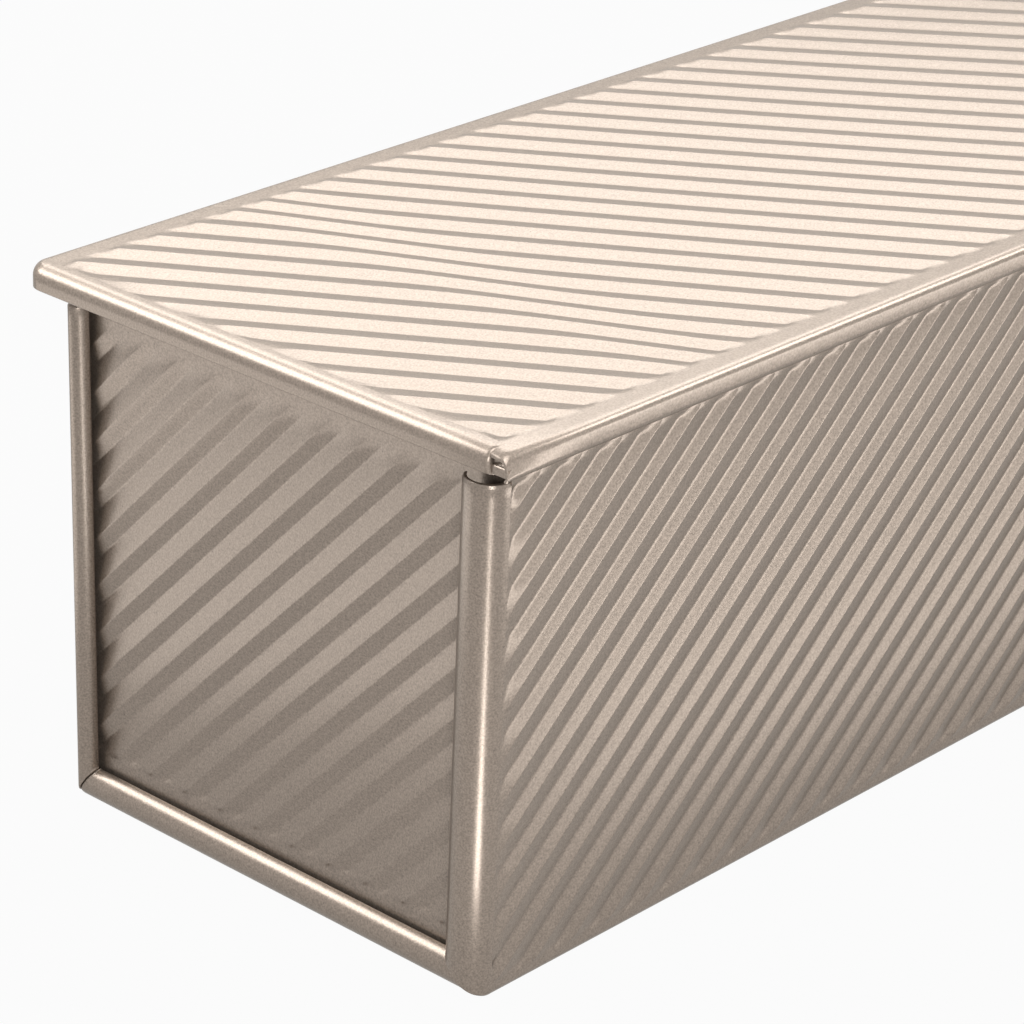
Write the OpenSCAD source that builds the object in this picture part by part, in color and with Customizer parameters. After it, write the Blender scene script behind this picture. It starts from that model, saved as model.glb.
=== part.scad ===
// Pullman loaf pan with a sliding lid, all folded from ribbed steel sheet.
// X runs along the pan, the stop end of the lid faces -X. Z is up, the pan stands on Z = 0.
// The origin is under the middle of the closed pan.

/* [Pan] */
// Length of the closed pan, over the lid
overall_length = 340; // [240:1:460]
// Height of the closed pan, from the table to the top of the lid
overall_height = 114; // [80:0.5:140]
// Width of the body at the bottom, outside
body_width = 111.4; // [80:0.2:150]
// Outward lean of the two long sides, in degrees
side_lean = 0.5; // [0:0.1:1.5]
// Thickness of the steel sheet
sheet = 0.6; // [0.5:0.05:0.8]
// Outer radius of the folds between the bottom and the long sides
fold_r = 2; // [1.8:0.1:4]

/* [Curled ends] */
// Outer radius of the upright curls at the four corners
post_r = 5; // [4:0.1:5.6]
// Outer radius of the curl along the bottom of each end
foot_r = 3.8; // [3:0.1:5]
// How far each curl turns, in degrees
curl_turn = 150; // [120:5:170]
// How far the end panels' hooks turn inside the curls, in degrees
hook_turn = 70; // [40:5:100]
// Free height between the lid's lip and the open tops of the upright curls
post_drop = 3.7; // [1:0.1:8]
// Open seam where an upright curl meets a bottom curl
mitre_gap = 0.2; // [0.1:0.05:0.4]

/* [Rim] */
// Diameter of the wire inside the rolled rim
wire_d = 2.1; // [1.6:0.1:3]
// Gap between the wire and the sheet rolled round it
wire_fit = 0.1; // [0.05:0.01:0.2]
// How far the rim stands out from the long sides
rim_reach_side = 5.3; // [4.6:0.1:8]
// How far the rim stands out from the end panels
rim_reach_end = 7; // [6:0.1:10]
// Inner radius of the bend under the rim
rim_bend_r = 0.8; // [0.4:0.1:1]

/* [Lid] */
// Outer radius of the lid's long edges
lid_edge_r = 1.6; // [1:0.1:2]
// Outer radius of the lid's turned-down stop end
lid_end_r = 3; // [1.4:0.1:3.6]
// Height of the lid's stop end
lid_end_h = 4.6; // [4.2:0.1:6]
// Radius of the lid's corners at the stop end, seen from above
lid_corner_r = 4.4; // [3:0.1:6]
// Width of the open notch between the stop end and each corner
lid_notch = 1.3; // [1:0.1:4]
// How much of each corner the long edge wraps, in degrees
lid_wrap = 65; // [30:5:80]

/* [Ribs] */
// Distance from one rib to the next, along a horizontal edge
rib_pitch = 10; // [7:0.5:14]
// Height of the ribs on the body
rib_depth = 0.4; // [0.2:0.05:0.5]
// Height of the ribs on the lid
lid_rib_depth = 0.5; // [0.2:0.05:0.55]
// Slope of the ribs on the long sides and the bottom, in degrees
side_rib_angle = 42; // [30:1:60]
// Slope of the ribs on the end panels, in degrees
end_rib_angle = 46; // [30:1:60]
// Angle of the ribs on the lid to its long edges, in degrees
lid_rib_angle = 56; // [30:1:70]
// Plain margin under the ribs of the long sides, and round those of the bottom
low_margin = 3.7; // [2:0.1:8]
// Plain margin under the ribs of the end panels
end_low_margin = 10.9; // [8:0.1:20]
// Height of the ribs' upper ends, below the top of the lid
top_margin = 12; // [9:0.1:20]
// Plain margin round the ribs of the lid
lid_margin = 5.5; // [3:0.1:10]

/* [Fits] */
// Running gap between the lid and the rim
lid_play = 0.3; // [0.2:0.05:0.5]
// Gap between the lid's lip and the long sides
lip_gap = 0.6; // [0.3:0.05:1]
// Seam between the end panels and the wrapped sheet
seam = 0.05; // [0.02:0.01:0.1]

/* [Hidden] */

$fn = 64;
coating = [0.66, 0.58, 0.5];
steel = [0.7, 0.7, 0.68];

// Half sizes and levels
half_l = overall_length / 2;
half_w = body_width / 2;
fold_y = half_w - fold_r;
lid_top = overall_height - lid_rib_depth / 2;
lid_under = lid_top - sheet;
rim_top = lid_under - lid_play;
roll_r = sheet + wire_fit + wire_d / 2;
wire_z = rim_top - roll_r;
lip_top = wire_z - roll_r - lid_play;
lip_low = lip_top - sheet;
bend_z = rim_top - sheet - rim_bend_r;
post_top = lip_low - post_drop;
rib_top = overall_height - top_margin;

// The rim and the panels along X
rim_x = half_l - sheet - lid_play;
wire_x = rim_x - roll_r;
panel_x = rim_x - rim_reach_end;
rim_corner_r = wire_x - panel_x;

// The rim and the lid along Y. The rim is rounded to a hundredth, so that straight and bent stretches meet
function side_y(z) = fold_y + fold_r / cos(side_lean) + (z - fold_r) * tan(side_lean);
rim_y = round(100 * (side_y(bend_z) + rim_reach_side)) / 100;
wire_y = rim_y - roll_r;
lid_half_w = rim_y + lid_play + sheet;
lip_y = side_y(lip_top) + lip_gap;

// How far the curls reach in from the long sides and up from the bottom
post_w = post_r * (1 - cos(curl_turn));
foot_h = foot_r * (1 - cos(curl_turn));
// How far the end panels' hooks stop short of the lower corners
hook_relief = 2;
// Lap of one stretch of a sheet into the next, so that they join
lap = 0.4;
// A curled stretch is thinner than its flat sheet by this much on each face
step = 0.02;
// A length past every face
far = 2 * (overall_length + overall_height);

// A flat pie slice round the origin, from angle a0 to a1
module pie(r, a0, a1) {
    turn = (a1 - a0) / 4;
    reach = 2 * r;
    intersection() {
        circle(r);
        polygon(concat([[0, 0]], [for (i = [0 : 4]) reach * [cos(a0 + i * turn), sin(a0 + i * turn)]]));
    }
}

// A flat ring sector round the origin, from angle a0 to a1
module ring_sector(r_out, r_in, a0, a1) {
    difference() {
        pie(r_out, a0, a1);
        circle(r_in);
    }
}

// A curled sheet in profile: a ring sector, and a short straight root that laps into the flat sheet it grows from
module curl_profile(r, a0, a1) {
    ring_sector(r - step, r - sheet + step, a0, a1);
    translate([-step, r - sheet + step])
        square([lap + step, sheet - 2 * step]);
}

// Cross-section of the trough, offset inward by the given distance, up to the given level
module trough(inset, level) {
    r = fold_r - inset;
    foot_y = fold_y + r * cos(side_lean);
    foot_z = fold_r - r * sin(side_lean);
    top_y = foot_y + (level - foot_z) * tan(side_lean);
    polygon([
        [-fold_y, inset],
        [fold_y, inset],
        [foot_y, foot_z],
        [top_y, level],
        [-top_y, level],
        [-foot_y, foot_z]
    ]);
    for (s = [-1, 1])
        translate([s * fold_y, fold_r])
            circle(r);
}

// Extrudes a YZ outline along X, from x0 to x1
module along_x(x0, x1) {
    translate([x0, 0, 0])
        rotate([90, 0, 90])
            linear_extrude(x1 - x0)
                children();
}

// Extrudes an XZ outline along Y, from y0 to y1
module along_y(y0, y1) {
    translate([0, y1, 0])
        rotate([90, 0, 0])
            linear_extrude(y1 - y0)
                children();
}

// Puts a long side's own frame in place on +Y: outer face at Y = fold_r, height along Z from the fold's centre
module on_side() {
    translate([0, fold_y, fold_r])
        rotate([-side_lean, 0, 0])
            children();
}

// A corrugated sheet w by h, lying on Z = 0 to sheet, whose ribs rise by depth towards +Z
module ribbed(w, h, angle, depth) {
    run = abs(sin(angle));
    half_pitch = rib_pitch * run / 2;
    across = w * run + h * cos(angle);
    along = w * cos(angle) + h * run;
    n = ceil(across / half_pitch / 2) + 2;
    low = [for (i = [-n : n]) [i * half_pitch, abs(i % 2) * depth]];
    high = [for (i = [n : -1 : -n]) [i * half_pitch, abs(i % 2) * depth + sheet]];
    intersection() {
        rotate([0, 0, angle - 90])
            along_y(-along / 2 - rib_pitch, along / 2 + rib_pitch)
                polygon(concat(low, high));
        translate([-w / 2, -h / 2, -1])
            cube([w, h, 2 + depth + sheet]);
    }
}

// Half profile of the rim on a long side: the bend, the flange and the roll, in YZ
module side_rim_profile() {
    bend_y = side_y(bend_z) + rim_bend_r;
    translate([bend_y, bend_z]) {
        ring_sector(rim_bend_r + sheet - step, rim_bend_r + step, 90, 180);
        translate([-rim_bend_r - sheet + step, -lap])
            square([sheet - 2 * step, 2 * lap]);
    }
    polygon([
        [bend_y - lap / 2, rim_top - sheet],
        [wire_y, rim_top - sheet],
        [wire_y, rim_top],
        [bend_y - lap / 2, rim_top]
    ]);
    translate([wire_y, wire_z])
        ring_sector(roll_r, roll_r - sheet, -180, 90);
}

// The upright curl at the stop end of the +Y side, in the side's own frame
module post_curl() {
    translate([-panel_x, fold_r - post_r, -fold_r - 1])
        linear_extrude((post_top - fold_r) / cos(side_lean) + fold_r + 1)
            curl_profile(post_r, 90, 90 + curl_turn);
}

// The curl along the bottom of the stop end
module foot_curl() {
    along_y(-half_w, half_w)
        translate([-panel_x, foot_r])
            mirror([0, 1])
                curl_profile(foot_r, 90, 90 + curl_turn);
}

// Side view of the part of an end that the bottom curl takes, up to the two slanted seams
module foot_region(grow) {
    outer_y = half_w - sheet + grow;
    inner_y = half_w - post_w + grow;
    polygon([
        [-outer_y, -1],
        [outer_y, -1],
        [outer_y, sheet],
        [inner_y, foot_h],
        [inner_y, far],
        [-inner_y, far],
        [-inner_y, foot_h],
        [-outer_y, sheet]
    ]);
}

// Both upright curls and the bottom curl of the stop end, seamed at the lower corners
module end_curls() {
    intersection() {
        along_x(-panel_x - post_r - 1, -panel_x + lap)
            trough(0, overall_height);
        union() {
            intersection() {
                foot_curl();
                along_x(-far, 0)
                    foot_region(-mitre_gap / 2);
            }
            difference() {
                for (s = [0, 1])
                    mirror([0, s, 0])
                        on_side()
                            post_curl();
                along_x(-far, 0)
                    foot_region(mitre_gap / 2);
            }
        }
    }
}

// Puts a flat sheet drawn on the XY plane onto the +Y side, from the low margin up, facing out
module side_place(h) {
    on_side()
        translate([0, fold_r - sheet, low_margin - fold_r + h / 2])
            rotate([90, 0, 180])
                children();
}

// The bottom and the two long sides, one folded sheet with its ends curled
module pan_wrapper() {
    field_l = 2 * (panel_x - lap);
    side_h = rib_top - low_margin;
    bottom_l = 2 * (panel_x - low_margin);
    bottom_w = 2 * (fold_y - low_margin);
    color(coating) {
        difference() {
            along_x(-panel_x, panel_x)
                trough(0, bend_z);
            along_x(-far, far)
                trough(sheet, bend_z + 1);
            for (s = [0, 1])
                mirror([0, s, 0])
                    side_place(side_h)
                        translate([-field_l / 2, -side_h / 2, -sheet])
                            cube([field_l, side_h, 3 * sheet]);
            translate([-bottom_l / 2, -bottom_w / 2, -sheet])
                cube([bottom_l, bottom_w, 3 * sheet]);
        }
        for (s = [0, 1])
            mirror([0, s, 0]) {
                side_place(side_h)
                    translate([0, 0, -rib_depth / 2])
                        ribbed(field_l + lap, side_h + lap, (1 - 2 * s) * side_rib_angle, rib_depth);
                along_x(-panel_x + seam, panel_x - seam)
                    side_rim_profile();
            }
        ribbed(bottom_l + lap, bottom_w + lap, -side_rib_angle, rib_depth);
        for (s = [0, 1])
            mirror([s, 0, 0])
                end_curls();
    }
}

// Puts a flat sheet drawn on the XY plane onto the stop end's panel, from its margin up, facing out
module end_place(h) {
    translate([-panel_x + sheet, 0, end_low_margin + h / 2])
        rotate([90, 0, -90])
            children();
}

// The hooks of the end panel, which lie inside the curls and are left out at the corners
module end_hooks() {
    post_in = post_r - sheet - seam;
    foot_in = foot_r - sheet - seam;
    foot_half = half_w - post_w - hook_relief;
    low = foot_h + hook_relief - fold_r;
    for (s = [0, 1])
        mirror([0, s, 0])
            on_side()
                translate([-panel_x, fold_r - post_r, low])
                    linear_extrude((post_top - fold_r) / cos(side_lean) - low)
                        curl_profile(post_in, 90, 90 + hook_turn);
    along_y(-foot_half, foot_half)
        translate([-panel_x, foot_r])
            mirror([0, 1])
                curl_profile(foot_in, 90, 90 + hook_turn);
}

// The rolled rim over the stop end, round both of its corners
module end_rim() {
    inner_y = side_y(bend_z) - sheet - seam;
    corner_y = wire_y - rim_corner_r;
    along_y(-inner_y, inner_y)
        translate([-panel_x - rim_bend_r, bend_z]) {
            ring_sector(rim_bend_r + sheet - step, rim_bend_r + step, 0, 90);
            translate([rim_bend_r + step, -lap])
                square([sheet - 2 * step, 2 * lap]);
        }
    translate([-wire_x, -corner_y, rim_top - sheet])
        cube([wire_x - panel_x - rim_bend_r + lap / 2, 2 * corner_y, sheet]);
    along_y(-corner_y, corner_y)
        translate([-wire_x, wire_z])
            ring_sector(roll_r, roll_r - sheet, 90, 360);
    for (s = [0, 1])
        mirror([0, s, 0])
            translate([-panel_x, corner_y, 0]) {
                translate([0, 0, rim_top - sheet])
                    linear_extrude(sheet)
                        pie(rim_corner_r, 90, 180);
                rotate([0, 0, 90])
                    rotate_extrude(angle = 90)
                        translate([rim_corner_r, wire_z])
                            ring_sector(roll_r, roll_r - sheet, -180, 90);
            }
}

// The end panel behind the stop end of the lid, set into the wrapped sheet
module end_panel() {
    field_w = 2 * (half_w - post_r);
    field_h = rib_top - end_low_margin;
    color(coating) {
        difference() {
            along_x(-panel_x, -panel_x + sheet)
                trough(sheet + seam, bend_z);
            end_place(field_h)
                translate([-field_w / 2, -field_h / 2, -sheet])
                    cube([field_w, field_h, 3 * sheet]);
        }
        end_place(field_h)
            translate([0, 0, -rib_depth / 2])
                ribbed(field_w + lap, field_h + lap, end_rib_angle, rib_depth);
        end_hooks();
        end_rim();
    }
}

module end_panel_front() {
    end_panel();
}

module end_panel_back() {
    rotate([0, 0, 180])
        end_panel();
}

// One closed loop of wire inside the rolled rim
module rim_wire() {
    corner_y = wire_y - rim_corner_r;
    color(steel)
        translate([0, 0, wire_z]) {
            for (s = [-1, 1]) {
                translate([-panel_x, s * wire_y, 0])
                    rotate([0, 90, 0])
                        cylinder(h = 2 * panel_x, d = wire_d);
                translate([s * wire_x, corner_y, 0])
                    rotate([90, 0, 0])
                        cylinder(h = 2 * corner_y, d = wire_d);
            }
            for (sx = [0, 1], sy = [0, 1])
                mirror([sx, 0, 0])
                    mirror([0, sy, 0])
                        translate([panel_x, corner_y, 0])
                            rotate_extrude(angle = 90)
                                translate([rim_corner_r, 0])
                                    circle(d = wire_d);
        }
}

// Half profile of the lid's long edge in YZ: the bend, the wall, the lower bend and the lip
module lid_edge_profile(lip_to) {
    low_r = lid_edge_r;
    translate([lid_half_w - lid_edge_r, lid_top - lid_edge_r])
        ring_sector(lid_edge_r, lid_edge_r - sheet, 0, 90);
    translate([lid_half_w - sheet, lip_low + low_r])
        square([sheet, lid_top - lid_edge_r - lip_low - low_r]);
    translate([lid_half_w - low_r, lip_low + low_r])
        ring_sector(low_r, low_r - sheet, -90, 0);
    translate([lip_to, lip_low])
        square([lid_half_w - low_r - lip_to, sheet]);
}

// The lid's corner at the stop end on +Y: the top's rounding and the long edge wrapped part of the way
module lid_corner() {
    centre_y = lid_half_w - lid_corner_r;
    flat_r = lid_corner_r - lid_edge_r;
    translate([-half_l + lid_corner_r, centre_y, 0]) {
        translate([0, 0, lid_under])
            linear_extrude(sheet)
                pie(flat_r, 90, 180);
        rotate([0, 0, 90])
            rotate_extrude(angle = lid_wrap)
                translate([-centre_y, 0])
                    lid_edge_profile(lid_half_w - lid_corner_r + flat_r - lap);
    }
}

// The lid's turned-down stop end, in XZ
module stop_profile() {
    translate([-half_l + lid_end_r, lid_top - lid_end_r])
        ring_sector(lid_end_r, lid_end_r - sheet, 90, 180);
    translate([-half_l, lid_top - lid_end_h])
        square([sheet, lid_end_h - lid_end_r]);
}

// The sliding lid, one sheet with both long edges folded under the rim
module sliding_lid() {
    flat_w = 2 * (lid_half_w - lid_edge_r);
    flat_l = overall_length - lid_corner_r;
    stop_half = lid_half_w - lid_corner_r - lid_notch;
    field_l = overall_length - 2 * lid_margin;
    field_w = 2 * (lid_half_w - lid_margin);
    color(coating) {
        difference() {
            translate([-half_l + lid_corner_r, -flat_w / 2, lid_under])
                cube([flat_l, flat_w, sheet]);
            translate([-field_l / 2, -field_w / 2, lid_under - sheet])
                cube([field_l, field_w, 3 * sheet]);
        }
        translate([0, 0, lid_under - lid_rib_depth / 2])
            ribbed(field_l + lap, field_w + lap, -lid_rib_angle, lid_rib_depth);
        translate([-half_l + lid_end_r, -stop_half, lid_under])
            cube([lid_corner_r - lid_end_r + lap, 2 * stop_half, sheet]);
        along_y(-stop_half, stop_half)
            stop_profile();
        for (s = [0, 1])
            mirror([0, s, 0]) {
                along_x(-half_l + lid_corner_r, half_l)
                    lid_edge_profile(lip_y);
                translate([-half_l + lid_edge_r, stop_half - lap, lid_under])
                    cube([lid_corner_r - lid_edge_r + lap, lid_notch + lap, sheet]);
                lid_corner();
            }
    }
}

pan_wrapper();
end_panel_front();
end_panel_back();
rim_wire();
sliding_lid();
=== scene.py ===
import math

import bpy
import numpy as np
from mathutils import Matrix, Vector


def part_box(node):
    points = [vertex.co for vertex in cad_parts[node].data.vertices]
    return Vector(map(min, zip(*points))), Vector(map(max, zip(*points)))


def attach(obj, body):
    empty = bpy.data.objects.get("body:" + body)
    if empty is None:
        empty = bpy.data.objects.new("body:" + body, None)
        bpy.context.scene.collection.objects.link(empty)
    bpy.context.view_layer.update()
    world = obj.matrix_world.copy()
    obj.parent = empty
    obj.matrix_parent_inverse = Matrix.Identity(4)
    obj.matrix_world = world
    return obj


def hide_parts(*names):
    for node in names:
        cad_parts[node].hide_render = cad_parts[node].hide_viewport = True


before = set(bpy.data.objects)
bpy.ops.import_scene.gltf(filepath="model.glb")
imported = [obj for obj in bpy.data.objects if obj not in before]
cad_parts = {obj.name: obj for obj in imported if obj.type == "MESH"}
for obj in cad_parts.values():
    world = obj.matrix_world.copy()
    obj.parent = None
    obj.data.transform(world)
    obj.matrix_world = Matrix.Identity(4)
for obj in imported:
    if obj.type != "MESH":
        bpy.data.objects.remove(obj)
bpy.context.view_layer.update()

# Lengths below are in millimetres, in the frame's own axes. Meshes are scaled to metres when they are made.
METRE = 1000.0
TINY = 1e-9
QUARTER = math.radians(90)

# Sheet metal
SHEET = 0.6
MID = SHEET / 2
EDGE_ROUND = 0.16
BODY_WIDTH = 111.4
SIDE_LEAN = math.radians(0.5)
FOLD_R = 2.0
# Posts are the upright curls at the corners, and feet the curls along the bottom of the ends. Hooks are the
# end panels' upright edges inside the posts. The post at the front left differs from the others.
POST_R = 5.0
LEFT_POST_R = 2.4
LEFT_POST_DEPTH = 4.0
FOOT_R = 3.56
POST_TURN = math.radians(150)
LEFT_POST_TURN = math.radians(165)
FOOT_TURN = math.radians(168)
HOOK_TURN = math.radians(70)
HOOK_RELIEF = 2.0
POST_DROP = 3.7
HIGH_POST_DROP = 1.6
POST_LIP = 0.8
POST_LIP_SLOPE = math.tan(math.radians(21))
HOOK_DROP = 1.8
MITRE_GAP = 0.05
# Room between two sheets that lie on each other
SEAM = 0.05

# Rolled rim. A corner of it starts at a small radius, where its columns would otherwise meet.
RIM_REACH_END = 7.0
RIM_BEND_R = 0.8
RIM_ROLL_TURN = math.radians(270)
RIM_CORNER_START = 0.1

# Lid. Its stop end is turned down in a bead. The bead and the long edge meet smoothly at one corner and are
# left open at the other, where a tab closes the notch between them.
LID_EDGE_R = 1.6
LID_END_R = 3.0
LID_END_H = 4.6
LID_CORNER_R = 4.4
LID_NOTCH = 1.3
LID_EDGE_SLANT = 0.7
LID_BEAD_ROUND = 1.2
# The top of the long edge leans in and down towards the open corner
PINCH_FROM = -148.0
PINCH_INSIDE = 56.0
PINCH_IN = 1.9
PINCH_DOWN = 0.5
LID_LIP_LENGTH = 5.0
LID_LIP_RISE = 0.5
LID_TAB_DEPTH = 0.8
LID_TAB_DROP = 2.9
LID_TAB_LAP = 0.5
LID_TAB_LEAN = 0.15
LID_LEAST_WALL = 0.02
# How far the tip of the stop end's bead sinks for each millimetre that it draws back
LID_BEAD_SINK = 0.3

# Width of the last band of faces before an edge, so that its rounding stays crisp
EDGE_BAND = 0.3
# How far the open corner's pieces stay inside the bead
CORNER_SETBACK = 0.1

# Points are welded when they fall on the same ten-thousandth of a millimetre
WELD_GRID = 1e4
SMOOTH_ANGLE = math.radians(38)

# Steps round each bend and curl
FOLD_STEPS = 10
RIM_BEND_STEPS = 6
RIM_ROLL_STEPS = 26
RIM_CORNER_STEPS = 14
CURL_STEPS = 30
HOOK_STEPS = 12
LID_EDGE_STEPS = 8
LID_END_STEPS = 14
LID_CORNER_STEPS = 14
LID_BEAD_STEPS = 10
LID_TIP_STEPS = 6
OPEN_EDGE_STEPS = 11
TAB_STEPS = 4

# Shares of a length at which lattices have their rows
POST_ROWS = (0, 0.002, 0.005, 0.009, 0.014, 0.02, 0.03, 0.06, 0.15, 0.4, 0.7, 0.9, 0.98, 1)
POST_LIP_ROWS = (0.15, 0.4, 0.7, 1)
FOOT_ROWS = (0, 0.5, 0.9, 0.955, 0.965, 0.973, 0.98, 0.986, 0.991, 0.996, 1)
STOP_END_ROWS = (0.1, 0.3, 0.5, 0.7, 0.9, 1)
CORNER_TOP_ROWS = (0.05, 0.5)
CORNER_WALL_ROWS = (0.5, 0.9, 1)

# Ribs
SIDE_RIB_DEPTH = 0.85
BOTTOM_RIB_DEPTH = 0.4
END_RIB_DEPTH = 0.8
LID_RIB_DEPTH = 0.6
# A short gentle slope starts each rising flank: its share of the pitch and of the height
START_SHARE = 0.07
START_RISE = 0.1
# Softness of the ribs' bends, measured across the rib, and the places where it is sampled
RIB_ROUND = 0.2
BEND_MARKS = (-1, -0.5, 0, 0.5, 1)
BLUR_MARKS = (-0.75, -0.25, 0.25, 0.75)
# Length over which ribs end, and how much further their falling flanks reach
RIB_END_FADE = 1.6
RIB_TIP = 0.6
# Share of the rib's depth at which the plain sheet lies: half way, or on top so that ribs only sink in
LEVEL_MIDDLE = 0.5
LEVEL_TOP = 1.0
SIDE_RIBS_LOW = 2.6
SIDE_RIBS_TOP = 105.5
END_RIBS_TOP = 103.5
END_RIBS_LOW = 10.0
END_RIBS_MARGIN = 1.2
# Beside the curls the ribs end faster than elsewhere, and at the top of the end panels slower
CURL_SIDE_FADE = 2.6
END_TOP_FADE = 0.3
LID_MARGIN = 5.5
LID_END_MARGIN = 4.6
# Places along the sheet and the ribs' pitch there; the lid's ribs crowd together at a slight crease
SIDE_PITCHES = ((-300, 10.8), (-160, 9.95), (50, 8.85), (150, 8.5))
END_PITCHES = ((0, 9.95),)
LID_PITCHES = (
    (-170, 10.3), (-125, 10.2), (-117, 7.9), (-107, 7.9), (-99, 9.9), (0, 10.9), (60, 11.8), (170, 12.4),
)
# Range along the sheet over which ribs are counted, and the number of places where the count is kept
COUNT_REACH = 420.0
COUNT_PLACES = 8401


def corners(node):
    """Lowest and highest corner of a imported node, in millimetres."""
    low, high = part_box(node)
    return np.array(low) * METRE, np.array(high) * METRE


def smooth_step(share):
    """Eases a share from 0 to 1 in and out."""
    return share * share * (3 - 2 * share)


lid_low, lid_high = corners("sliding_lid")
wrap_high = corners("pan_wrapper")[1]
end_low = corners("end_panel_front")[0]
wire_low, wire_high = corners("rim_wire")

half_l = lid_high[0]
lid_half_w = lid_high[1]
lid_top = lid_high[2] - LID_RIB_DEPTH / 2
lip_low = lid_low[2]
rim_top = wrap_high[2]
rim_y = wrap_high[1]
rim_x = -end_low[0]
panel_x = rim_x - RIM_REACH_END
wire_z = (wire_low[2] + wire_high[2]) / 2
roll_r = rim_top - wire_z
wire_x = rim_x - roll_r
wire_y = rim_y - roll_r
bend_z = rim_top - SHEET - RIM_BEND_R
half_w = BODY_WIDTH / 2
fold_y = half_w - FOLD_R
foot_h = FOOT_R * (1 - math.cos(FOOT_TURN))


def side_y(z):
    """Outer face of a long side at height z."""
    return fold_y + FOLD_R / math.cos(SIDE_LEAN) + (z - FOLD_R) * math.tan(SIDE_LEAN)


class Sheets:
    """Closed sheets of metal that make up one piece."""

    def __init__(self):
        self.points = []
        self.faces = []
        self.count = 0

    def add(self, outer, inner, rounded=""):
        """One closed sheet between two lattices of points.

        rounded names the borders with a rounded edge: t for the last row, b the first row, l the first
        column and r the last column.
        """
        outer = outer.copy()
        inner = inner.copy()
        rows, cols = outer.shape[:2]
        back = np.zeros_like(outer)

        def pull(edge, near, key):
            if key in rounded:
                way = outer[edge] - outer[near]
                reach = np.linalg.norm(way, axis=-1, keepdims=True)
                back[edge] += EDGE_ROUND * way / np.maximum(reach, TINY)

        pull(np.s_[0], np.s_[1], "b")
        pull(np.s_[-1], np.s_[-2], "t")
        pull(np.s_[:, 0], np.s_[:, 1], "l")
        pull(np.s_[:, -1], np.s_[:, -2], "r")
        thick = outer - inner
        thick /= np.linalg.norm(thick, axis=-1, keepdims=True)
        turned = np.linalg.norm(back, axis=-1, keepdims=True) > 0
        rim_outer = outer - EDGE_ROUND * thick * turned
        rim_inner = inner + EDGE_ROUND * thick * turned
        outer -= back
        inner -= back

        loop = [(0, c) for c in range(cols - 1)]
        loop += [(r, cols - 1) for r in range(rows - 1)]
        loop += [(rows - 1, c) for c in range(cols - 1, 0, -1)]
        loop += [(r, 0) for r in range(rows - 1, 0, -1)]
        ring_r = np.array([p[0] for p in loop])
        ring_c = np.array([p[1] for p in loop])
        ring = ring_r * cols + ring_c
        n = rows * cols
        m = len(loop)
        points = np.concatenate([
            outer.reshape(-1, 3),
            inner.reshape(-1, 3),
            rim_outer[ring_r, ring_c],
            rim_inner[ring_r, ring_c],
        ])
        a = (np.arange(rows - 1)[:, None] * cols + np.arange(cols - 1)[None, :]).ravel()
        skin = np.stack([a, a + 1, a + cols + 1, a + cols], axis=1)
        levels = [ring, 2 * n + np.arange(m), 2 * n + m + np.arange(m), n + ring]
        walls = [
            np.stack([np.roll(p, -1), p, q, np.roll(q, -1)], axis=1)
            for p, q in zip(levels, levels[1:])
        ]
        faces = np.concatenate([skin, skin[:, ::-1] + n, *walls])
        self._keep(points, faces)

    def _keep(self, points, faces):
        """Welds equal points of one sheet and drops faces that vanish."""
        key = np.round(points * WELD_GRID).astype(np.int64)
        _, first, index = np.unique(key, axis=0, return_index=True, return_inverse=True)
        index = index.ravel()
        faces = index[faces]
        for face in faces.tolist():
            ring = [p for i, p in enumerate(face) if p != face[i - 1]]
            if len(ring) > 2 and len(set(ring)) == len(ring):
                self.faces.append([p + self.count for p in ring])
        self.points.append(points[first])
        self.count += len(first)

    def make(self, name, body, node, material):
        """The mesh object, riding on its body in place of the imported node."""
        mesh = bpy.data.meshes.new(name)
        mesh.from_pydata((np.concatenate(self.points) / METRE).tolist(), [], self.faces)
        mesh.polygons.foreach_set("use_smooth", [True] * len(mesh.polygons))
        mesh.set_sharp_from_angle(angle=SMOOTH_ANGLE)
        mesh.materials.append(material)
        mesh.validate()
        piece = bpy.data.objects.new(name, mesh)
        bpy.context.scene.collection.objects.link(piece)
        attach(piece, body)
        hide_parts(node)
        return piece


def trace(start, heading, moves):
    """Follows lines and arcs in a plane. Gives points, right-hand normals and lengths travelled.

    A line is ("line", distances) and an arc ("arc", radius, turn, steps), with turn positive to the left.
    """
    at = np.array(start, float)
    points = [at.copy()]
    sides = [np.array([math.sin(heading), -math.cos(heading)])]
    lengths = [0.0]
    travelled = 0.0
    for move in moves:
        if move[0] == "line":
            way = np.array([math.cos(heading), math.sin(heading)])
            side = np.array([math.sin(heading), -math.cos(heading)])
            for d in move[1]:
                points.append(at + d * way)
                sides.append(side)
                lengths.append(travelled + d)
            at = at + move[1][-1] * way
            travelled += move[1][-1]
        else:
            _, radius, turn, steps = move
            sign = 1 if turn > 0 else -1
            centre = at + sign * radius * np.array([-math.sin(heading), math.cos(heading)])
            for i in range(1, steps + 1):
                h = heading + turn * i / steps
                side = np.array([math.sin(h), -math.cos(h)])
                points.append(centre + sign * radius * side)
                sides.append(side)
                lengths.append(travelled + radius * abs(turn) * i / steps)
            heading += turn
            at = points[-1].copy()
            travelled += radius * abs(turn)
    return np.array(points), np.array(sides), np.array(lengths)


def stations(low, high, stops, fine=0.5, reach=5.0, blend=8, coarse=3.2, least=0.2):
    """Distances from low to high, close together within reach of the stops and wide apart elsewhere."""
    out = [low]
    while out[-1] < high - TINY:
        near = min(abs(out[-1] - s) for s in stops)
        step = fine + (coarse - fine) * min(max((near - reach) / blend, 0), 1)
        out.append(out[-1] + step)
    out[-1] = high
    if out[-1] - out[-2] < least:
        out.pop(-2)
    return out[1:]


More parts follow.
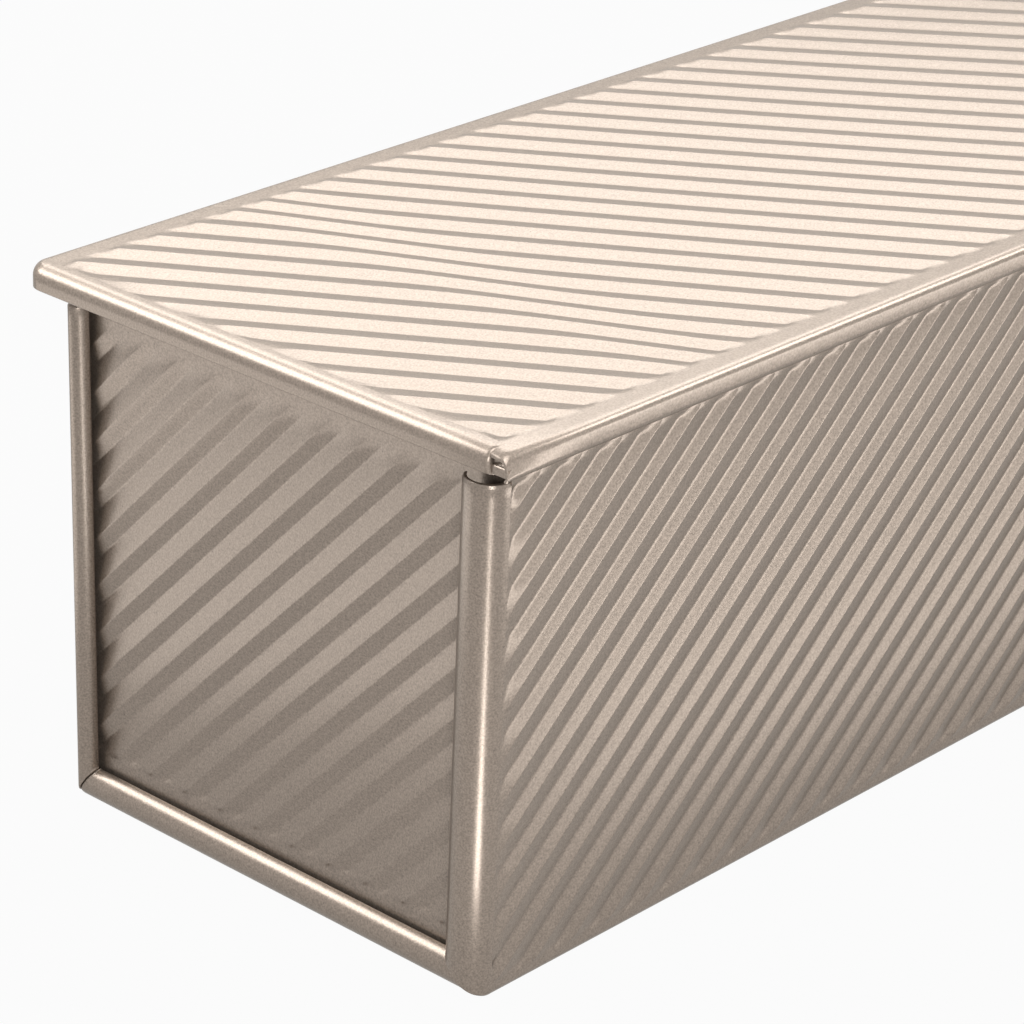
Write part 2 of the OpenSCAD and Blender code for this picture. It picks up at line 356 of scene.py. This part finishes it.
class RibField:
    """A field of slanted ribs whose pitch drifts slowly along the sheet.

    pitches lists places along the sheet and the pitch there. Ribs are counted from the valley at "at".
    slope is the ribs' angle to the rows, and rise the share of the pitch that the rising flank takes.
    leaning is 1 where the drift follows the slanted ribs and 0 where it follows the row itself.
    """

    def __init__(self, at, pitches, slope, rise, depth, leaning=1):
        places, values = zip(*pitches)
        self.grid = np.linspace(-COUNT_REACH, COUNT_REACH, COUNT_PLACES)
        density = 1 / np.interp(self.grid, places, values)
        spacing = self.grid[1] - self.grid[0]
        count = np.concatenate([[0], np.cumsum((density[1:] + density[:-1]) / 2)]) * spacing
        self.count = count - np.interp(at, self.grid, count)
        self.cot = 1 / math.tan(slope)
        self.rise = rise
        self.depth = depth
        self.leaning = leaning
        self.pitch = values[0]
        self.blur = RIB_ROUND / (self.pitch * math.sin(slope))

    def number(self, x, shift):
        """Number of ribs counted up to x on a row whose ribs are shifted."""
        counted = np.interp(x - self.leaning * shift, self.grid, self.count)
        return counted - (1 - self.leaning) * shift / self.pitch

    def place(self, number, shift):
        """Where a row crosses a number of ribs."""
        counted = number + (1 - self.leaning) * shift / self.pitch
        return np.interp(counted, self.count, self.grid) + self.leaning * shift

    def columns(self, low, high, shift):
        """Places that follow the ribs' bends on every row, from low to high."""
        bends = [0, START_SHARE, self.rise]
        marks = [self.rise / 2, (1 + self.rise) / 2]
        marks += [bend + self.blur * mark for bend in bends for mark in BEND_MARKS]
        marks = np.sort(np.array(marks) % 1.0)
        ends = [self.number(x, s) for x in (low, high) for s in (shift.min(), shift.max())]
        whole = np.arange(math.floor(min(ends)), math.ceil(max(ends)) + 1)
        numbers = (whole[:, None] + marks[None, :]).ravel()
        return np.clip(self.place(numbers[None, :], shift[:, None]), low, high)

    def zigzag(self, number):
        """Height from 0 to 1 of a rib: a gentle start, a rising flank and a falling flank, softly bent."""
        places = [0, START_SHARE, self.rise, 1]
        heights = [0, START_RISE, 1, 0]
        sharp = [np.interp((number + self.blur * mark) % 1.0, places, heights) for mark in BLUR_MARKS]
        return sum(sharp) / len(sharp)

    def height(self, number, inside, level=LEVEL_MIDDLE, depth=None):
        """Rib height over the sheet, where inside is the distance to the field's edge.

        The falling flanks reach furthest. The plain sheet lies at the level's share of the depth.
        """
        fall_middle = (1 + self.rise) / 2
        off = np.abs((number - fall_middle + 0.5) % 1.0 - 0.5) * 2
        fade = np.clip((inside - RIB_TIP * off * off) / RIB_END_FADE, 0, 1)
        depth = self.depth if depth is None else depth
        return depth * smooth_step(fade) * (self.zigzag(number) - level)


SIDE_RIBS = RibField(
    at=-158.4, pitches=SIDE_PITCHES, slope=math.radians(42), rise=0.4, depth=SIDE_RIB_DEPTH,
)
END_RIBS = RibField(
    at=-2.7, pitches=END_PITCHES, slope=math.radians(46), rise=0.58, depth=END_RIB_DEPTH,
)
LID_RIBS = RibField(
    at=-150.0, pitches=LID_PITCHES, slope=math.radians(55.5), rise=0.52, depth=LID_RIB_DEPTH,
    leaning=0,
)


def both_sides(path, side, length):
    """A traced path with its mirror image put before it, running from end to end."""
    path = np.concatenate([path[:0:-1] * [-1, 1], path])
    side = np.concatenate([side[:0:-1] * [-1, 1], side])
    return path, side, np.concatenate([-length[:0:-1], length])


def lattice(x, y, z):
    """Rows and columns of points from coordinates of matching or broadcast shape."""
    return np.stack(np.broadcast_arrays(x, y, z), axis=-1).astype(float)


def wrapper_piece(material):
    """Bottom and long sides with their rims, and the curls at both ends."""
    sheets = Sheets()
    upright = QUARTER - SIDE_LEAN
    side_length = (bend_z - FOLD_R) / math.cos(SIDE_LEAN)
    flange = wire_y - side_y(bend_z) - RIM_BEND_R
    fold_end = fold_y + (FOLD_R - MID) * upright
    half = trace((0, MID), 0, [
        ("line", stations(0, fold_y, [fold_y - SIDE_RIBS_LOW + FOLD_R])),
        ("arc", FOLD_R - MID, upright, FOLD_STEPS),
        ("line", stations(0, side_length, [0, SIDE_RIBS_TOP - FOLD_R])),
        ("arc", RIM_BEND_R + MID, -upright, RIM_BEND_STEPS),
        ("line", [flange / 2, flange]),
        ("arc", roll_r - MID, -RIM_ROLL_TURN, RIM_ROLL_STEPS),
    ])
    path, side, length = both_sides(*half)
    shift = -SIDE_RIBS.cot * length
    x = SIDE_RIBS.columns(-panel_x, panel_x, shift)
    number = SIDE_RIBS.number(x, shift[:, None])
    along_side = np.abs(length) - fold_end
    side_z = along_side + FOLD_R
    inside_side = np.minimum(side_z - SIDE_RIBS_LOW, SIDE_RIBS_TOP - side_z)
    inside_bottom = fold_y - SIDE_RIBS_LOW + FOLD_R - np.abs(length)
    inside = np.where(np.abs(length) < fold_y, inside_bottom, inside_side)
    inside = np.minimum(inside[:, None], CURL_SIDE_FADE * (panel_x - np.abs(x)))
    bottom = (np.abs(length) < fold_y)[:, None]
    depth = np.where(bottom, BOTTOM_RIB_DEPTH, SIDE_RIB_DEPTH)
    height = SIDE_RIBS.height(number, inside, np.where(bottom, LEVEL_TOP, LEVEL_MIDDLE), depth)

    def skin(offset):
        reach = offset + height
        y = path[:, 0][:, None] + side[:, 0][:, None] * reach
        z = path[:, 1][:, None] + side[:, 1][:, None] * reach
        return lattice(x, y, z)

    sheets.add(skin(MID), skin(-MID), "tb")
    for sx in (-1, 1):
        for sy in (-1, 1):
            post_curl(sheets, sx, sy)
        foot_curl(sheets, sx, FOOT_R)
    return sheets.make("pan_wrapper_sheet", "pan", "pan_wrapper", material)


def fold_limit(z, radius):
    """How far out the fold between bottom and side lets a sheet reach at height z."""
    z = np.minimum(z, FOLD_R)
    return fold_y + np.sqrt(np.maximum(radius * radius - (FOLD_R - z) ** 2, 0))


# The curls of a lower corner are rounded as the sheet's own fold is, and cut half way round
CORNER_CUT = 1 - math.cos(QUARTER / 2)
# Share of that rounding that goes where the curls face outward
CORNER_SHARPER = 0.7


def post_form(sx, sy):
    """Radius, turn, depth ratio and seam slope of a corner's upright curl.

    It is tighter at the front left.
    """
    radius, turn, depth = POST_R, POST_TURN, POST_R
    if sx < 0 < sy:
        radius, turn, depth = LEFT_POST_R, LEFT_POST_TURN, LEFT_POST_DEPTH
    return radius, turn, depth / radius, foot_h / (radius * (1 - math.cos(turn)))


def corner_fold(radius, r, angle):
    """Radius of the rounding at a lower corner's curls, smaller away from the sheet's own fold."""
    sharper = CORNER_SHARPER * np.sin(np.minimum(angle, QUARTER)) ** 2
    return (FOLD_R - (radius - r) * np.cos(angle)) * (1 - sharper)


def post_top(sx, sy):
    """Height of a corner's upright curl, which stands higher at the front left."""
    return lip_low - (HIGH_POST_DROP if sx < 0 < sy else POST_DROP)


def post_curl(sheets, sx, sy):
    """An upright curl at one corner: open at the top with a lip drawn in, cut on the slant at the bottom."""
    radius, turn, deeper, slope = post_form(sx, sy)
    angle = np.linspace(0, turn, CURL_STEPS + 1)[None, :]
    rows = np.array(POST_ROWS)[:, None]
    lip = np.array(POST_LIP_ROWS)[:, None]
    top = post_top(sx, sy) - POST_LIP
    pull = np.concatenate([0 * rows, POST_LIP_SLOPE * POST_LIP * lip])

    def skin(r):
        rise = (radius - r * np.cos(angle)) * slope
        fold = corner_fold(radius, r, angle)
        start = rise + CORNER_CUT * fold + MITRE_GAP / 2
        z = np.concatenate([start + rows * (top - start), top + POST_LIP * lip + 0 * angle])
        gone = radius - (r - pull) * np.cos(angle)
        below = np.maximum(rise + fold - z, 0)
        y = side_y(z) - gone - fold + np.sqrt(np.maximum(fold * fold - below * below, 0))
        x = panel_x + deeper * (r - pull) * np.sin(angle)
        return lattice(sx * x, sy * y, z)

    sheets.add(skin(radius), skin(radius - SHEET), "tbr")


def foot_curl(sheets, sx, radius):
    """The curl along the bottom of one end, cut on the slant and rounded at both ends."""
    angle = np.linspace(0, FOOT_TURN, CURL_STEPS + 1)[None, :]
    share = np.array(FOOT_ROWS)
    share = np.concatenate([-share[:0:-1], share])[:, None]
    slope = np.where(share > 0, post_form(sx, 1)[3], post_form(sx, -1)[3])

    def skin(r):
        lift = radius - r * np.cos(angle)
        fold = corner_fold(radius, r, angle)
        side = half_w - lift / slope
        y = share * (side - CORNER_CUT * fold - MITRE_GAP / 2)
        over = np.maximum(np.abs(y) - side + fold, 0)
        z = lift + fold - np.sqrt(np.maximum(fold * fold - over * over, 0))
        x = panel_x + r * np.sin(angle)
        return lattice(sx * x, y, z)

    sheets.add(skin(radius), skin(radius - SHEET), "tbr")


def end_piece(name, node, sx, material):
    """A recessed end panel with its rolled rim and corners, and the hooks inside the curls."""
    sheets = Sheets()
    half_panel = half_w - SHEET - SEAM
    corner_r = wire_x - panel_x
    corner_y = wire_y - corner_r
    height_to_bend = bend_z - SHEET - SEAM
    flange = wire_x - panel_x - RIM_BEND_R
    path, side, length = trace((panel_x - MID, SHEET + SEAM), QUARTER, [
        ("line", stations(0, height_to_bend, [END_RIBS_LOW, END_RIBS_TOP])),
        ("arc", RIM_BEND_R + MID, -QUARTER, RIM_BEND_STEPS),
        ("line", [flange / 2, flange]),
        ("arc", roll_r - MID, -RIM_ROLL_TURN, RIM_ROLL_STEPS),
    ])
    z_row = path[:, 1]
    shift = END_RIBS.cot * length
    across = END_RIBS.columns(-corner_y, corner_y, shift)
    number = END_RIBS.number(across, shift[:, None])
    inside = np.minimum(z_row - END_RIBS_LOW, END_TOP_FADE * (END_RIBS_TOP - z_row))
    inside = np.where(length > height_to_bend, -1, inside)[:, None]
    inside = np.minimum(inside, CURL_SIDE_FADE * (half_panel - END_RIBS_MARGIN - np.abs(across)))
    height = END_RIBS.height(number, inside)
    turn = -sx

    def skin(offset):
        reach = offset + height
        x = path[:, 0][:, None] + side[:, 0][:, None] * reach
        z = path[:, 1][:, None] + side[:, 1][:, None] * reach
        limit = fold_limit(z, FOLD_R - SHEET - SEAM)
        y = np.clip(across, -limit, limit)
        return lattice(sx * x, turn * -y, z)

    sheets.add(skin(MID), skin(-MID), "t")
    rim_corners(sheets, sx, corner_y, corner_r)
    for sy in (-1, 1):
        end_hook(sheets, sx, sy)
    return sheets.make(name, "pan", node, material)


def rim_corners(sheets, sx, corner_y, corner_r):
    """The rolled rim round both corners of one end."""
    path, side, _ = trace((RIM_CORNER_START, rim_top - MID), 0, [
        ("line", [corner_r / 2, corner_r - RIM_CORNER_START]),
        ("arc", roll_r - MID, -RIM_ROLL_TURN, RIM_ROLL_STEPS),
    ])
    angle = np.linspace(0, QUARTER, RIM_CORNER_STEPS + 1)[None, :]
    for sy in (-1, 1):
        def skin(offset):
            r = (path[:, 0] + side[:, 0] * offset)[:, None]
            z = (path[:, 1] + side[:, 1] * offset)[:, None]
            return lattice(sx * (panel_x + r * np.cos(angle)), sy * (corner_y + r * np.sin(angle)), z)

        sheets.add(skin(MID), skin(-MID), "t")


def end_hook(sheets, sx, sy):
    """The end panel's upright edge, hooked inside a curl."""
    post_r = post_form(sx, sy)[0]
    radius = post_r - SHEET - SEAM
    angle = np.linspace(0, HOOK_TURN, HOOK_STEPS + 1)[None, :]
    low = foot_h + HOOK_RELIEF
    top = post_top(sx, sy) - HOOK_DROP
    z = np.array([low, low + EDGE_BAND, top - EDGE_BAND, top])[:, None]

    def skin(r):
        y = side_y(z) - post_r + r * np.cos(angle)
        x = panel_x + r * np.sin(angle)
        return lattice(sx * x, sy * y, z)

    sheets.add(skin(radius), skin(radius - SHEET), "tr")


def lid_piece(material):
    """The sliding lid: a ribbed top, long edges folded under the rim and one end turned down."""
    sheets = Sheets()
    edge_r = LID_EDGE_R - MID
    flat = lid_half_w - LID_EDGE_R
    wall = lid_top - lip_low - 2 * LID_EDGE_R
    lip = LID_LIP_LENGTH - LID_EDGE_R
    edge_path, edge_side, edge_length = trace((0, lid_top - MID), 0, [
        ("line", stations(0, flat, [lid_half_w - LID_MARGIN])),
        ("arc", edge_r, -QUARTER, LID_EDGE_STEPS),
        ("line", [max(wall, LID_LEAST_WALL)]),
        ("arc", edge_r, -QUARTER, LID_EDGE_STEPS),
        ("line", [lip / 2, lip - EDGE_BAND, lip]),
    ])
    edge_side = -edge_side
    path, side, length = both_sides(edge_path, edge_side, edge_length)
    shift = -LID_RIBS.cot * length
    x_start = -half_l + LID_CORNER_R
    x = LID_RIBS.columns(x_start, half_l, shift)
    number = LID_RIBS.number(x, shift[:, None])
    inside = np.where(np.abs(length) < flat, lid_half_w - LID_MARGIN - np.abs(length), -1)[:, None]
    inside = np.minimum(inside, half_l - LID_END_MARGIN - np.abs(x))
    height = LID_RIBS.height(number, inside)

    def skin(offset):
        reach = offset + height
        y = path[:, 0][:, None] + side[:, 0][:, None] * reach
        z = path[:, 1][:, None] + side[:, 1][:, None] * reach
        return pinch(x, y, z)

    sheets.add(skin(MID), skin(-MID), "tbr")
    stop_end(sheets, x_start)
    whole_corner(sheets, x_start)
    open_corner(sheets, x_start, edge_path, edge_side)
    return sheets.make("sliding_lid_sheet", "lid", "sliding_lid", material)


def stop_end(sheets, x_start):
    """The lid's turned-down end, whose bead ends in a rounded tip at the open corner."""
    reach = LID_CORNER_R - LID_END_R
    drop = LID_END_H - LID_END_R
    path, side, _ = trace((-x_start, lid_top - MID), 0, [
        ("line", [reach / 2, reach]),
        ("arc", LID_END_R - MID, -QUARTER, LID_END_STEPS),
        ("line", [drop - EDGE_BAND, drop]),
    ])
    side = -side
    low_y = -lid_half_w + LID_CORNER_R + LID_NOTCH - LID_BEAD_ROUND
    high_y = lid_half_w - LID_CORNER_R
    tip_y = low_y + LID_BEAD_ROUND
    tip = LID_BEAD_ROUND * (1 - np.cos(np.linspace(0, QUARTER, LID_TIP_STEPS + 1)))
    y = np.concatenate([low_y + tip, tip_y + np.array(STOP_END_ROWS) * (high_y - tip_y)])[None, :]
    near = np.clip(1 - (y - low_y) / LID_BEAD_ROUND, 0, 1)
    round_back = LID_BEAD_ROUND * (1 - np.sqrt(1 - near * near))

    def skin(offset):
        out = (path[:, 0] + side[:, 0] * offset)[:, None]
        z = (path[:, 1] + side[:, 1] * offset)[:, None]
        bead = np.clip((out + x_start) / LID_CORNER_R, 0, 1)
        return pinch(-(out - round_back * bead), y, z - LID_BEAD_SINK * round_back * bead)

    sheets.add(skin(MID), skin(-MID), "tl")


def whole_corner(sheets, x_start):
    """The far corner of the lid, where the bead runs smoothly round into the long edge."""
    centre_y = lid_half_w - LID_CORNER_R
    angle = np.linspace(0, QUARTER, LID_CORNER_STEPS + 1)[None, :]
    blend = angle / QUARTER
    bead_r = LID_END_R + (LID_EDGE_R - LID_END_R) * blend
    edge_h = lid_top - lip_low - LID_LIP_RISE
    bead_h = LID_END_H + (edge_h - LID_END_H) * blend
    arc = np.linspace(0, QUARTER, LID_BEAD_STEPS + 1)[:, None]

    def skin(depth):
        r_arc = LID_CORNER_R - bead_r + (bead_r - depth) * np.sin(arc)
        z_arc = lid_top - bead_r + (bead_r - depth) * np.cos(arc)
        r_top = np.array(CORNER_TOP_ROWS)[:, None] * (LID_CORNER_R - bead_r)
        wall = np.array(CORNER_WALL_ROWS)[:, None]
        r = np.concatenate([r_top, r_arc, 0 * wall * bead_r + LID_CORNER_R - depth])
        z = np.concatenate([0 * r_top + lid_top - depth, z_arc, lid_top - bead_r - wall * (bead_h - bead_r)])
        return lattice(x_start - r * np.cos(angle), centre_y + r * np.sin(angle), z)

    sheets.add(skin(0), skin(SHEET), "t")


def pinch(x, y, z):
    """Draws the top of the long edge in and down towards the lid's open corner."""
    near = np.clip((PINCH_FROM - x) / (PINCH_FROM + half_l), 0, 1)
    out = np.clip((-y - PINCH_INSIDE) / (lid_half_w - PINCH_INSIDE), 0, 1)
    high = np.clip((z - lip_low) / (lid_top - lip_low), 0, 1)
    pull = near * near * smooth_step(out) * high
    return lattice(x, y + PINCH_IN * pull, z - PINCH_DOWN * pull)


def open_corner(sheets, x_start, edge_path, edge_side):
    """The near corner of the lid: the long edge ends in a slant beside a notch, with a tab behind it."""
    start_y = lid_half_w - LID_CORNER_R - LID_NOTCH + LID_BEAD_ROUND
    flat = lid_half_w - LID_EDGE_R
    top_y = np.array([start_y, (start_y + flat) / 2])
    top_path = np.stack([top_y, np.full(2, lid_top - MID)], axis=1)
    keep = (edge_path[:, 0] >= flat - TINY) & (edge_path[:, 1] > lip_low + LID_LIP_RISE)
    path = np.concatenate([top_path, edge_path[keep]])
    side = np.concatenate([np.array([[0, 1], [0, 1]]), edge_side[keep]])
    share = np.linspace(0, 1, OPEN_EDGE_STEPS + 1)[None, :]
    high = np.clip((path[:, 1] - lip_low) / (lid_top - lip_low), 0, 1)[:, None]
    reach = LID_CORNER_R - CORNER_SETBACK - LID_EDGE_SLANT * high

    def skin(offset):
        out = share * reach
        over = np.maximum(out - LID_CORNER_R + LID_END_R, 0)
        drop = (LID_END_R - np.sqrt(LID_END_R ** 2 - over ** 2)) * high
        y = (path[:, 0] + side[:, 0] * offset)[:, None]
        z = (path[:, 1] + side[:, 1] * offset)[:, None] - drop
        return pinch(x_start - out, -y + 0 * out, z)

    sheets.add(skin(MID), skin(-MID), "tr")
    y = np.linspace(start_y - LID_TAB_LAP, lid_half_w - SHEET, TAB_STEPS + 1)[None, :]
    z_low = lid_top - LID_END_H + CORNER_SETBACK
    z_high = lid_top - LID_TAB_DROP
    z = np.array([z_low, z_high - EDGE_BAND, z_high])[:, None]
    x = -half_l + LID_TAB_DEPTH + LID_TAB_LEAN * (z - z_low)
    sheets.add(lattice(x, -y, z), lattice(x + SHEET, -y, z), "t")


# Coating: a warm base under a thin clear gloss, with a speckle that varies its tone and roughness
COATING_COLOUR = (0.302, 0.247, 0.203)
COATING_METALLIC = 0.6
COATING_ROUGHNESS = 0.3
COATING_ROUGHNESS_SPREAD = 0.05
COATING_SPECULAR = 0.3
COATING_EDGE_TINT = (0.54, 0.52, 0.49, 1)
GLOSS_WEIGHT = 0.25
GLOSS_ROUGHNESS = 0.22
GRAIN_SCALE = 2600
GRAIN_DETAIL = 2
GRAIN_TONE = 0.22
GRAIN_FROM = 0.3
GRAIN_TO = 0.7
GRAIN_BUMP = 0.25
GRAIN_HEIGHT = 0.00004

# Wire: bare steel, mottled by drawing
WIRE_DARK = (0.34, 0.33, 0.32, 1)
WIRE_LIGHT = (0.55, 0.54, 0.52, 1)
WIRE_MARK_SCALE = 900
WIRE_MARK_DETAIL = 3
WIRE_SMOOTHEST = 0.28
WIRE_ROUGHEST = 0.5


def new_material(name):
    """An empty node material with its output node."""
    material = bpy.data.materials.new(name)
    material.use_nodes = True
    tree = material.node_tree
    tree.nodes.clear()
    return material, tree.nodes, tree.links, tree.nodes.new("ShaderNodeOutputMaterial")


def mottled(nodes, links, out, scale, detail, dark, light, ramp, smoothest, roughest):
    """A principled shader whose colour and roughness follow one noise. Gives the shader and the noise."""
    shader = nodes.new("ShaderNodeBsdfPrincipled")
    links.new(shader.outputs["BSDF"], out.inputs["Surface"])
    place = nodes.new("ShaderNodeTexCoord")
    noise = nodes.new("ShaderNodeTexNoise")
    noise.inputs["Scale"].default_value = scale
    noise.inputs["Detail"].default_value = detail
    links.new(place.outputs["Object"], noise.inputs["Vector"])
    tone = nodes.new("ShaderNodeValToRGB")
    for stop, position, colour in zip(tone.color_ramp.elements, ramp, (dark, light)):
        stop.position = position
        stop.color = colour
    links.new(noise.outputs["Fac"], tone.inputs["Fac"])
    links.new(tone.outputs["Color"], shader.inputs["Base Color"])
    rough = nodes.new("ShaderNodeMapRange")
    rough.inputs["To Min"].default_value = smoothest
    rough.inputs["To Max"].default_value = roughest
    links.new(noise.outputs["Fac"], rough.inputs["Value"])
    links.new(rough.outputs["Result"], shader.inputs["Roughness"])
    return shader, noise


def coating_material():
    """Satin champagne coating with a fine sandy speckle."""
    material, nodes, links, out = new_material("champagne_coating")
    dark, light = (
        (*(c * (1 + change) for c in COATING_COLOUR), 1)
        for change in (-GRAIN_TONE, GRAIN_TONE)
    )
    smoothest = COATING_ROUGHNESS - COATING_ROUGHNESS_SPREAD
    roughest = COATING_ROUGHNESS + COATING_ROUGHNESS_SPREAD
    ramp = (GRAIN_FROM, GRAIN_TO)
    shader, grain = mottled(
        nodes, links, out, GRAIN_SCALE, GRAIN_DETAIL, dark, light, ramp, smoothest, roughest
    )
    shader.inputs["Metallic"].default_value = COATING_METALLIC
    shader.inputs["Specular IOR Level"].default_value = COATING_SPECULAR
    shader.inputs["Specular Tint"].default_value = COATING_EDGE_TINT
    shader.inputs["Coat Weight"].default_value = GLOSS_WEIGHT
    shader.inputs["Coat Roughness"].default_value = GLOSS_ROUGHNESS
    bump = nodes.new("ShaderNodeBump")
    bump.inputs["Strength"].default_value = GRAIN_BUMP
    bump.inputs["Distance"].default_value = GRAIN_HEIGHT
    links.new(grain.outputs["Fac"], bump.inputs["Height"])
    links.new(bump.outputs["Normal"], shader.inputs["Normal"])
    return material


def wire_material():
    """Plain drawn steel wire with slight mottling."""
    material, nodes, links, out = new_material("rim_wire_steel")
    shader, _ = mottled(
        nodes, links, out, WIRE_MARK_SCALE, WIRE_MARK_DETAIL,
        WIRE_DARK, WIRE_LIGHT, (0, 1), WIRE_SMOOTHEST, WIRE_ROUGHEST,
    )
    shader.inputs["Metallic"].default_value = 1.0
    return material


# The camera stands where the photograph's perspective puts it
CAMERA_AT = (-633.4, -482.0, 390.2)
CAMERA_YAW = math.radians(42.05)
CAMERA_PITCH = math.radians(24.63)
CAMERA_ROLL = math.radians(-1.92)
IMAGE_SIZE = 1024
FOCAL_PIXELS = 4009
SENSOR = 36.0
CLIP_METRES = 50


def make_camera():
    """The camera, turned by its yaw and pitch and then rolled."""
    data = bpy.data.cameras.new("camera")
    data.sensor_width = SENSOR
    data.lens = FOCAL_PIXELS / IMAGE_SIZE * SENSOR
    data.clip_end = CLIP_METRES
    camera = bpy.data.objects.new("camera", data)
    bpy.context.scene.collection.objects.link(camera)
    ahead = np.array([
        math.cos(CAMERA_YAW) * math.cos(CAMERA_PITCH),
        math.sin(CAMERA_YAW) * math.cos(CAMERA_PITCH),
        -math.sin(CAMERA_PITCH),
    ])
    right = np.array([math.sin(CAMERA_YAW), -math.cos(CAMERA_YAW), 0])
    down = np.cross(ahead, right)
    rolled_right = math.cos(CAMERA_ROLL) * right + math.sin(CAMERA_ROLL) * down
    rolled_down = -math.sin(CAMERA_ROLL) * right + math.cos(CAMERA_ROLL) * down
    turn = Matrix(np.stack([rolled_right, -rolled_down, -ahead], axis=1).tolist())
    camera.matrix_world = Matrix.Translation([v / METRE for v in CAMERA_AT]) @ turn.to_4x4()
    bpy.context.scene.camera = camera


def seen_ray(nodes, links):
    """1 for camera, glossy and transmission rays, which show the white background."""
    path = nodes.new("ShaderNodeLightPath")
    first = nodes.new("ShaderNodeMath")
    first.operation = "MAXIMUM"
    links.new(path.outputs["Is Camera Ray"], first.inputs[0])
    links.new(path.outputs["Is Glossy Ray"], first.inputs[1])
    second = nodes.new("ShaderNodeMath")
    second.operation = "MAXIMUM"
    links.new(first.outputs[0], second.inputs[0])
    links.new(path.outputs["Is Transmission Ray"], second.inputs[1])
    return second.outputs[0]


# Strength of the even light on the pan, and the floor's shade where it is seen and where it is lit
WORLD_LIGHT = 0.06
FLOOR_WHITE = 0.96
FLOOR_GREY = 0.13
# Half the floor's width and its place just under the pan, in metres
FLOOR_HALF = 3.0
FLOOR_AT = -0.0002


def make_world():
    """A dim even light, seen by the camera and in reflections as white."""
    world = bpy.data.worlds.new("studio")
    bpy.context.scene.world = world
    world.use_nodes = True
    nodes, links = world.node_tree.nodes, world.node_tree.links
    nodes.clear()
    out = nodes.new("ShaderNodeOutputWorld")
    sky = nodes.new("ShaderNodeBackground")
    level = nodes.new("ShaderNodeMapRange")
    level.inputs["To Min"].default_value = WORLD_LIGHT
    level.inputs["To Max"].default_value = 1.0
    links.new(seen_ray(nodes, links), level.inputs["Value"])
    links.new(level.outputs["Result"], sky.inputs["Strength"])
    sky.inputs["Color"].default_value = (1, 1, 1, 1)
    links.new(sky.outputs["Background"], out.inputs["Surface"])


def make_floor():
    """A white floor that keeps a faint shadow of the pan."""
    mesh = bpy.data.meshes.new("floor")
    edges = ((-1, -1), (1, -1), (1, 1), (-1, 1))
    mesh.from_pydata([(FLOOR_HALF * x, FLOOR_HALF * y, 0) for x, y in edges], [], [(0, 1, 2, 3)])
    floor = bpy.data.objects.new("floor", mesh)
    floor.location.z = FLOOR_AT
    bpy.context.scene.collection.objects.link(floor)
    material, nodes, links, out = new_material("floor_white")
    matte = nodes.new("ShaderNodeBsdfDiffuse")
    matte.inputs["Color"].default_value = (FLOOR_GREY, FLOOR_GREY, FLOOR_GREY, 1)
    glow = nodes.new("ShaderNodeEmission")
    glow.inputs["Color"].default_value = (1, 1, 1, 1)
    mix = nodes.new("ShaderNodeMixShader")
    share = nodes.new("ShaderNodeMath")
    share.operation = "MULTIPLY"
    share.inputs[1].default_value = FLOOR_WHITE
    links.new(seen_ray(nodes, links), share.inputs[0])
    links.new(share.outputs[0], mix.inputs[0])
    links.new(matte.outputs[0], mix.inputs[1])
    links.new(glow.outputs[0], mix.inputs[2])
    links.new(mix.outputs[0], out.inputs["Surface"])
    mesh.materials.append(material)


# Soft lamps round the pan: name, bearing and height in degrees, width, height and radiance
LAMP_DISTANCE = 1000
LAMP_TARGET = (-90, -10, 60)
LAMPS = [
    ("lamp_top", 243, 66, 600, 600, 4.5),
    ("lamp_back", 42, 42, 900, 500, 3.6),
    ("lamp_back_left", 80, 51, 500, 340, 2.4),
    ("lamp_back_right", 5, 47, 400, 340, 2.2),
    ("lamp_right", 329, 37, 320, 360, 8.5),
    ("lamp_low", 295, 9, 500, 300, 0.6),
    ("lamp_left", 124, 41, 460, 420, 7.6),
    ("lamp_front", 228, 15, 220, 200, 14.0),
]
# Lamps that lie on the floor and shine up: name, place, length, width, bearing and radiance
GROUND_LAMP_HEIGHT = 0.5
GROUND_LAMPS = [
    ("lamp_ground_corner", (-266, -178), 240, 20, 232, 9.0),
    ("lamp_ground_side", (205, -405), 520, 310, 0, 3.8),
    ("lamp_ground_end", (-328, 232), 320, 190, 124, 1.0),
]


def add_lamp(name, at, rotation, width, height, radiance):
    """A rectangular lamp at a place in millimetres, seen only in its light and reflections."""
    data = bpy.data.lights.new(name, "AREA")
    data.shape = "RECTANGLE"
    data.size = width / METRE
    data.size_y = height / METRE
    data.energy = radiance * math.pi * data.size * data.size_y
    lamp = bpy.data.objects.new(name, data)
    bpy.context.scene.collection.objects.link(lamp)
    lamp.location = Vector(at) / METRE
    lamp.rotation_euler = rotation
    lamp.visible_camera = False


def make_lamps():
    """Soft lamps on a sphere round the pan, each facing it, and lamps lying on the floor."""
    target = Vector(LAMP_TARGET)
    for name, bearing, rise, width, height, radiance in LAMPS:
        bearing = math.radians(bearing)
        rise = math.radians(rise)
        level = math.cos(rise)
        way = Vector((math.cos(bearing) * level, math.sin(bearing) * level, math.sin(rise)))
        facing = way.to_track_quat("Z", "Y").to_euler()
        add_lamp(name, target + LAMP_DISTANCE * way, facing, width, height, radiance)
    for name, place, length, width, bearing, radiance in GROUND_LAMPS:
        facing = (math.pi, 0, math.radians(bearing))
        add_lamp(name, (*place, GROUND_LAMP_HEIGHT), facing, length, width, radiance)


bpy.context.scene.view_settings.view_transform = "Standard"
coating = coating_material()
wire_steel = wire_material()
wrapper_piece(coating)
end_piece("end_panel_front_sheet", "end_panel_front", -1, coating)
end_piece("end_panel_back_sheet", "end_panel_back", 1, coating)
lid_piece(coating)
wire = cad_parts["rim_wire"]
wire.data.materials.clear()
wire.data.materials.append(wire_steel)
make_camera()
make_world()
make_floor()
make_lamps()
